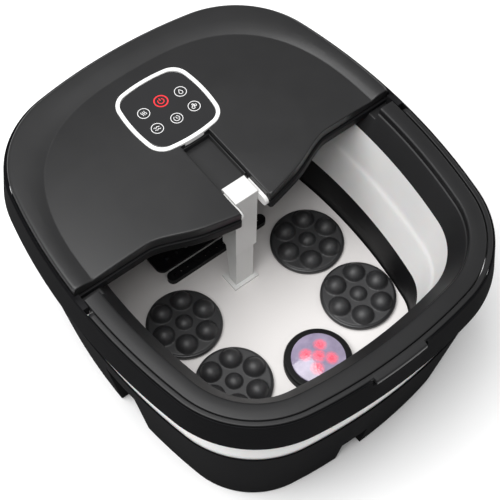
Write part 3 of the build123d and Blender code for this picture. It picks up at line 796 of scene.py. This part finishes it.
def build_cover():
    """Splash cover: crowned deck with a creased border, rounded edges, curved front, slot and panel opening."""
    points, lines = deck_network()
    flat, _, faces, *_ = delaunay_2d_cdt([Vector(p) for p in points], lines, [], 0, 1e-4)
    flat = np.array([tuple(p) for p in flat])
    kept = [f for f in faces if inside_deck(*flat[list(f)].mean(axis=0))]
    top, under = deck_heights(flat)
    bm = bmesh.new()
    used = sorted({i for f in kept for i in f})
    upper = {i: bm.verts.new((*flat[i] * MM, top[i] * MM)) for i in used}
    lower = {i: bm.verts.new((*flat[i] * MM, under[i] * MM)) for i in used}
    sides = {}
    for face in kept:
        bm.faces.new([upper[i] for i in face])
        bm.faces.new([lower[i] for i in reversed(face)])
        for a, b in zip(face, face[1:] + face[:1]):
            if (b, a) in sides:
                del sides[(b, a)]
            else:
                sides[(a, b)] = True
    for a, b in sides:
        bm.faces.new((upper[b], upper[a], lower[a], lower[b]))
    bmesh.ops.recalc_face_normals(bm, faces=bm.faces)
    return make_piece("splash_deck", [bm], "upper", FINISH["satin_black"], ["splash_cover"],
                      sharp=50)


def ribbon(path, profile, swell, side):
    """Bar along the front edge; its profile is (forward, z), and swell scales its forward reach at each point."""
    bm = bmesh.new()
    normals = path_normals(path)
    rows = []
    for (x, y), (nx, ny), scale in zip(path, normals, swell):
        row = []
        for forward, z in profile:
            reach = forward * scale if forward > 0 else forward
            row.append(bm.verts.new((side * (x - nx * reach) * MM, (y - ny * reach) * MM, z * MM)))
        rows.append(row)
    bridge(bm, rows)
    bm.faces.new(rows[0])
    bm.faces.new(rows[-1])
    bmesh.ops.recalc_face_normals(bm, faces=bm.faces)
    return bm


def build_cover_lip():
    """Lower lip of the cover's front wall, with the dark groove above it."""
    ledge = SIDE_X + sqrt((SIDE_RADIUS - 28.5)**2 - FRONT_Y**2)
    parts = []
    for side in (-1, 1):
        inner = np.array([(x, front_line(x)) for x in (*SLOT + np.array([0.0, 0.15, 0.4, 0.8, 1.4, 2.2]),
                                                      *np.linspace(SLOT + 4, ledge, 62))])
        swell = np.sqrt(1 - (1 - np.clip((inner[:, 0] - SLOT) / 2.2, 0, 1))**2)
        lip = rounded([(-5, 200, 0), (2.2, 200, 1.3), (2.2, 190, 2.0), (-5, 190, 0)])
        parts.append(ribbon(inner, lip, swell, side))
        outer = front_path(ledge, COVER_EDGE - 0.3, 6)
        shoulder = rounded([(-5, 200, 0), (2.2, 200, 1.3), (2.2, SHELF + 0.1, 0.5), (-5, SHELF + 0.1, 0)])
        parts.append(ribbon(outer, shoulder, np.ones(len(outer)), side))
        web = front_path(SLOT + 0.3, COVER_EDGE - 3.2, 3)
        upright = [(-3, 199.9), (-5, 199.9), (-5, DECK_UNDER), (-3, DECK_UNDER)]
        parts.append(ribbon(web, upright, np.ones(len(web)), side))
    return make_piece("cover_front_lip", parts, "upper", FINISH["inner_black"], ["cover_lip"])


def build_channel():
    """Shallow dark channel behind the column, its thin walls tucked under the cover's edges."""
    start, end, floor = low("channel_liner").y, high("channel_liner").y, low("channel_liner").z
    half, wall = high("channel_liner").x, 1.2
    wall_low, wall_top = floor + 1.5, DECK_UNDER - 1.5
    parts = [
        box_solid((-half, start, floor), (half, end, floor + 1.6)),
        box_solid((-half, start, wall_low), (wall - half, end, wall_top)),
        box_solid((half - wall, start, wall_low), (half, end, wall_top)),
        box_solid((-half, end - wall, wall_low), (half, end, wall_top)),
    ]
    piece = make_piece("slot_channel", parts, "upper", FINISH["satin_black"], ["channel_liner"])
    eased = piece.modifiers.new("eased", "BEVEL")
    eased.width = 0.0003
    eased.segments = 2
    return piece


# ---------------------------------------------------------------- control panel


def build_panel():
    """White frame with rounded edges and the glossy black window sunk into it."""
    top = high("panel_bezel").z
    floor = DECK_TOP - 4.5
    frame_profile = rounded([(0, floor, 0), (0, top, 1.3), (4.1, top, 1.0), (4.1, floor, 0)])
    bezel = sweep(soft_square(PANEL_HALF), frame_profile)
    make_piece("panel_frame", [bezel], "upper", FINISH["white_trim"], ["panel_bezel"])
    pane_top = high("panel_window").z
    pane_low = low("panel_window").z
    shape = soft_square(PANEL_HALF - 4.3)
    rows = [(0.0, pane_low), (0.0, pane_top - 0.5), (0.15, pane_top - 0.15), (0.5, pane_top)]
    bm = bmesh.new()
    rings = [[bm.verts.new((x * MM, y * MM, z * MM)) for x, y in shape.loop(inset)] for inset, z in rows]
    bridge(bm, rings)
    bm.faces.new(rings[-1])
    bm.faces.new(rings[0][::-1])
    bmesh.ops.recalc_face_normals(bm, faces=bm.faces)
    make_piece("panel_pane", [bm], "upper", FINISH["panel_gloss"], ["panel_window"])


def stroke(points, width, z0, z1, closed=False):
    """Flat printed line of even width through points."""
    path = np.array(points, float)
    if closed:
        before, after = np.roll(path, 1, axis=0), np.roll(path, -1, axis=0)
        along = after - before
    else:
        along = np.gradient(path, axis=0)
    along /= np.linalg.norm(along, axis=1)[:, None]
    across = np.stack((-along[:, 1], along[:, 0]), axis=1) * width / 2
    bm = bmesh.new()
    rows = []
    for point, aside in zip(path, across):
        corners = ((point + aside, z0), (point + aside, z1), (point - aside, z1), (point - aside, z0))
        rows.append([bm.verts.new((p[0] * MM, p[1] * MM, z * MM)) for p, z in corners])
    bridge(bm, rows + rows[:1] if closed else rows)
    if not closed:
        bm.faces.new(rows[0])
        bm.faces.new(rows[-1])
    bmesh.ops.recalc_face_normals(bm, faces=bm.faces)
    return bm


def ring_points(x, y, radius, start=0.0, turn=2 * pi, steps=40):
    return [(x + radius * cos(start + turn * s / steps), y + radius * sin(start + turn * s / steps))
            for s in range(steps + (0 if turn >= 2 * pi else 1))]


KEYS = {
    "heat": (-21.5, 9.0), "drop": (21.5, 9.0),
    "wave": (-21.5, -13.0), "clock": (0.0, -14.5), "bubble": (21.5, -13.0),
}


def key_glyph(kind, x, y, z0, z1):
    """Plain generic sign inside one key ring."""
    if kind == "heat":
        lines = [[(x + dx + 0.5 * sin(s * pi / 4), y - 2.4 + 0.6 * s) for s in range(9)]
                 for dx in (-1.8, 0, 1.8)]
    elif kind == "drop":
        round_part = ring_points(x, y - 0.9, 1.9, radians(150), radians(240), 20)
        lines = [[(x, y + 2.9), *round_part, (x, y + 2.9)]]
    elif kind == "wave":
        lines = [[(x - 3 + 0.5 * s, y + dy + 0.6 * sin(s * pi / 3)) for s in range(13)] for dy in (-1.4, 1.4)]
    elif kind == "clock":
        hands = [(x, y + 1.9), (x, y), (x + 1.3, y - 0.8)]
        lines = [ring_points(x, y, 2.9, radians(115), radians(310), 24), hands]
    else:
        lines = []
        for dx, dy, radius in ((-1.3, -0.8, 1.5), (1.7, 0.4, 1.1), (-0.1, 2.4, 0.8)):
            lines.append(ring_points(x + dx, y + dy, radius, 0, 1.999 * pi, 20))
    return [stroke(line, 0.5, z0, z1) for line in lines]


def build_keys():
    """Printed key rings with generic signs, and the red power key."""
    z0 = high("panel_window").z - 0.02
    z1 = high("key_rings").z
    rings, signs = [], []
    for kind, (x, y) in KEYS.items():
        rings.append(stroke(ring_points(x, PANEL_Y + y, 5.8), 0.55, z0, z1, closed=True))
        signs += key_glyph(kind, x, PANEL_Y + y, z0, z1)
    make_piece("key_ring_marks", rings, "upper", FINISH["mark_white"], ["key_rings"])
    make_piece("key_signs", signs, "upper", FINISH["mark_white"], ["key_symbols"])
    y = PANEL_Y + 11.0
    power = [
        stroke(ring_points(0, y, 6.6), 1.2, z0, z1, closed=True),
        stroke(ring_points(0, y, 3.0, radians(125), radians(290), 26), 0.8, z0, z1),
        stroke([(0, y + 3.8), (0, y + 0.6)], 0.8, z0, z1),
    ]
    make_piece("power_sign", power, "upper", FINISH["mark_red"], ["power_key"])


# ---------------------------------------------------------------- folding walls and base


FOLD_THICK = 1.5


def build_fold_wall(name, node, line, ease):
    """One soft white wall through the (inset, z) line."""
    low_z, high_z = low(node).z, high(node).z
    line = [(line[0], low_z), *line[1:-1], (line[-1], high_z)]
    step = FOLD_THICK if node == "fold_wall_outer" else -FOLD_THICK
    near = [(a, z, ease) for a, z in line]
    far = [(a + step, z, ease) for a, z in reversed(line)]
    wall = make_piece(name, [sweep(PLAN, ease_open(near, far))], "base", FINISH["fold_white"], [node],
                      sharp=60)
    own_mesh(wall)


def build_fold_walls():
    """The outer and inner walls with their moulded fold lines."""
    build_fold_wall("bellows_outer", "fold_wall_outer", [
        7.4, (7.4, 126.0), (8.6, 134.0), (11.8, 146.0), (8.6, 158.0), (7.4, 168.0), 7.4,
    ], 4.0)
    build_fold_wall("bellows_inner", "fold_wall_inner", [
        55.8, (54.6, 101.0), (51.0, 118.0), (47.6, 134.0), (45.4, 139.0), (42.0, 160.0), 38.8,
    ], 5.0)


def ease_open(one_side, other_side):
    """Closed wall profile whose two faces are eased but whose ends stay square."""
    corners = []
    for line in (one_side, other_side):
        for index, (a, z, ease) in enumerate(line):
            corners.append((a, z, 0 if index in (0, len(line) - 1) else ease))
    return rounded(corners, 4)


GROOVE_DEEP, GROOVE_WALL = 9.0, 2.5
END_GROOVE, SIDE_GROOVE = (6, 36), (-55, -12)
END_GROOVE_TOP, SIDE_GROOVE_TOP = 45.0, 87.0
BASE_FOOT, BASE_MOUTH = 20.5, 5.4


def grooves(deep, grow, low_z, outer):
    """Solids of the four upright grip grooves, from outer inward to a wall parallel to the base's own."""
    foot, top = low("base_shell").z, high("base_shell").z
    slope = (BASE_MOUTH - BASE_FOOT) / (top - foot)

    def inset(z):
        return BASE_FOOT + slope * (z - foot)

    near_x, far_x = END_GROOVE[0] - grow, END_GROOVE[1] + grow
    sides = [((0, SIDE_GROOVE[0] - grow, 0), FRONT), ((0, SIDE_GROOVE[1] + grow, 0), REAR)]
    solids = []
    for roof, cuts in (
        (END_GROOVE_TOP, [((-far_x, 0, 0), LEFT), ((-near_x, 0, 0), RIGHT), ((0, 0, 0), REAR)]),
        (END_GROOVE_TOP, [((near_x, 0, 0), LEFT), ((far_x, 0, 0), RIGHT), ((0, 0, 0), FRONT)]),
        (SIDE_GROOVE_TOP, [*sides, ((0, 0, 0), RIGHT)]),
        (SIDE_GROOVE_TOP, [*sides, ((0, 0, 0), LEFT)]),
    ):
        roof += grow
        near, far = inset(low_z) + outer, inset(roof) + outer
        profile = [(near, low_z), (far, roof), (inset(roof) + deep, roof), (inset(low_z) + deep, low_z)]
        solids.append(sweep(PLAN, profile, cuts))
    return solids


def build_base():
    """Tapering base shell with a rounded top edge and grip grooves set into its sides."""
    top, bottom = high("base_shell").z, low("base_shell").z
    shell = rounded([(BASE_FOOT, bottom, 1.6), (BASE_MOUTH, top, 1.2), (7.0, top, 0.4), (7.0, top - 4, 0),
                     (9.1, top - 4, 0), (23.5, bottom, 0.6)])
    base = make_piece("base_body", [sweep(PLAN, shell)], "base", FINISH["shell_black"],
                      ["base_shell", "grip_cups"])
    combine(base, grooves(GROOVE_DEEP + GROOVE_WALL, GROOVE_WALL, bottom, 1.5), "UNION")
    combine(base, grooves(GROOVE_DEEP, 0, bottom - 4, -8))


# ---------------------------------------------------------------- basin floor


PAD_INSET, PAD_THICK = 1.6, 1.2
KNOB_RING, KNOB_RADIUS = 24.5, 10.6
MIDDLE_KNOB, MIDDLE_HEIGHT = 0.8, 0.72


def build_massage(row, hand):
    """Massage disc with a rounded edge and a pad of soft knobs, which turn together."""
    tag = f"{row}_{hand}"
    low_disc, high_disc = low(f"disc_{tag}"), high(f"disc_{tag}")
    x, y = (low_disc.x + high_disc.x) / 2, (low_disc.y + high_disc.y) / 2
    radius = (high_disc.x - low_disc.x) / 2
    body = f"massage_{tag}"
    base, top = low_disc.z, high_disc.z
    plate = dome(x, y, [
        (0, top), (radius - 3, top), (radius - 1.5, top - 0.2), (radius - 0.5, top - 0.8),
        (radius, top - 1.9), (radius, base + 0.8), (radius - 0.8, base), (0, base),
    ])
    make_piece(f"massage_disc_{tag}", [plate], body, FINISH["disc_black"], [f"disc_{tag}"])
    height = high(f"knobs_{tag}").z - top
    pad = radius - PAD_INSET
    bm = bmesh.new()
    rings, around = 46, 132
    rows = []
    for i in range(rings + 1):
        r = pad * i / rings
        row_points = []
        for j in range(around):
            angle = 2 * pi * j / around
            px, py = r * cos(angle), r * sin(angle)
            lift = PAD_THICK * min(1.0, (pad - r) / PAD_THICK)**0.5
            for spot in range(7):
                cx = KNOB_RING * cos(pi * spot / 3) if spot < 6 else 0.0
                cy = KNOB_RING * sin(pi * spot / 3) if spot < 6 else 0.0
                size = KNOB_RADIUS if spot < 6 else MIDDLE_KNOB * KNOB_RADIUS
                away = hypot(px - cx, py - cy) / size
                if away < 1:
                    tall = (height if spot < 6 else MIDDLE_HEIGHT * height) - PAD_THICK
                    lift = max(lift, PAD_THICK + tall * (1 - away**2)**0.62)
            row_points.append((px, py, lift))
        rows.append(row_points if i else row_points[:1])
    made = []
    for line in rows:
        made.append([bm.verts.new(((x + px) * MM, (y + py) * MM, (top + lift) * MM)) for px, py, lift in line])
    bridge_turned(bm, made, around)
    bm.faces.new([bm.verts.new((v.co.x, v.co.y, top * MM)) for v in made[-1]])
    bmesh.ops.recalc_face_normals(bm, faces=bm.faces)
    make_piece(f"massage_knobs_{tag}", [bm], body, FINISH["knob_rubber"], [f"knobs_{tag}"],
               sharp=70)


def build_light():
    """Domed milky lens in its black ring."""
    y = LIGHT_Y
    top, rim = high("lens").z, high("light_plinth").z
    radius = (high("lens") - low("lens")).x / 2
    rise = top - rim - 1.5
    big = (radius**2 + rise**2) / (2 * rise)
    cap = [(big * sin(t), top - big * (1 - cos(t))) for t in np.linspace(0, asin((radius - 0.3) / big), 26)]
    neck = radius - 4.2
    lens = dome(0, y, [*cap, (radius, rim + 0.8), (radius, rim), (neck, rim), (neck, rim - 2), (0, rim - 2)])
    make_piece("light_lens", [lens], "base", FINISH["lens_clear"], ["lens"])
    low_z = low("light_plinth").z
    outer = (high("light_plinth") - low("light_plinth")).x / 2
    body = dome(0, y, [(0, low_z + 2), (22.9, low_z + 2), (22.9, rim - 0.4), (23.3, rim), (outer - 3, rim),
                       (outer - 1.2, rim - 0.6), (outer, rim - 2.4), (outer, low_z), (0, low_z)])
    make_piece("light_ring", [body], "base", FINISH["inner_black"], ["light_plinth"])


# ---------------------------------------------------------------- stage


STAGE_HALF, STAGE_THICK = 6000, 20
WORLD_STRENGTH = 0.40
# Lights and camera are in metres.
OVERHEAD = {"place": (-0.60, 0.08, 1.7), "target": (-0.1, 0, 0.15), "size": 1.7, "power": 53}
SIDE_FILL = {"place": (1.7, 0.1, 0.8), "target": (0, 0, 0.15), "size": 0.7, "power": 6}
CAMERA_TURN, CAMERA_RAISE = radians(-37.76), radians(58.7)
CAMERA_AIM, CAMERA_AWAY = (0, 0.0134, 0.1), 1.22595
CAMERA_LENS, CAMERA_SHIFT = 89.3, (0.0284, -0.0094)


def build_stage():
    """Pale floor, bright surroundings and two soft lights."""
    bm = box_solid((-STAGE_HALF, -STAGE_HALF, -STAGE_THICK), (STAGE_HALF, STAGE_HALF, 0))
    mesh = bpy.data.meshes.new("floor")
    bm.to_mesh(mesh)
    bm.free()
    floor = bpy.data.objects.new("floor", mesh)
    bpy.context.scene.collection.objects.link(floor)
    shade = Shader("pale_floor")
    pale = shade.blend(shade.noise(2.0), (0.93, 0.93, 0.93), (0.95, 0.95, 0.95))
    shade.link(pale, shade.bsdf.inputs["Base Color"])
    shade.bsdf.inputs["Roughness"].default_value = 0.9
    floor.data.materials.append(shade.material)

    world = bpy.data.worlds.new("studio")
    world.use_nodes = True
    world.node_tree.nodes["Background"].inputs["Color"].default_value = (1, 1, 1, 1)
    world.node_tree.nodes["Background"].inputs["Strength"].default_value = WORLD_STRENGTH
    bpy.context.scene.world = world
    area_light("overhead", **OVERHEAD)
    area_light("side_fill", **SIDE_FILL)
    bpy.context.scene.view_settings.view_transform = "Standard"


def area_light(name, place, target, size, power):
    """Square soft light that faces its target."""
    light = bpy.data.lights.new(name, "AREA")
    light.size = size
    light.energy = power
    lamp = bpy.data.objects.new(name, light)
    lamp.location = place
    lamp.rotation_mode = "QUATERNION"
    lamp.rotation_quaternion = (Vector(target) - Vector(place)).to_track_quat("-Z", "Y")
    bpy.context.scene.collection.objects.link(lamp)


def build_camera():
    """Camera at the front left, looking down into the basin."""
    level = cos(CAMERA_RAISE)
    back = Vector((sin(CAMERA_TURN) * level, -cos(CAMERA_TURN) * level, sin(CAMERA_RAISE)))
    data = bpy.data.cameras.new("camera")
    data.lens = CAMERA_LENS
    data.shift_x, data.shift_y = CAMERA_SHIFT
    camera = bpy.data.objects.new("camera", data)
    camera.location = Vector(CAMERA_AIM) + CAMERA_AWAY * back
    camera.rotation_mode = "QUATERNION"
    camera.rotation_quaternion = (-back).to_track_quat("-Z", "Y")
    bpy.context.scene.collection.objects.link(camera)
    bpy.context.scene.camera = camera


build_camera()
build_stage()
finish_cad_nodes()
build_skirt()
build_band()
build_handle()
build_cover()
build_cover_lip()
build_channel()
build_panel()
build_keys()
build_fold_walls()
build_base()
for row in ("front", "rear"):
    for hand in ("left", "right"):
        build_massage(row, hand)
build_light()
for node, width in (("column_cap", 0.5), ("column_sleeve", 0.9), ("column_yoke", 0.8), ("column_post", 0.6),
                    ("bubble_bar", 0.6), ("heater_cover", 0.6), ("panel_tray", 0.5)):
    ease_edges(node, width)
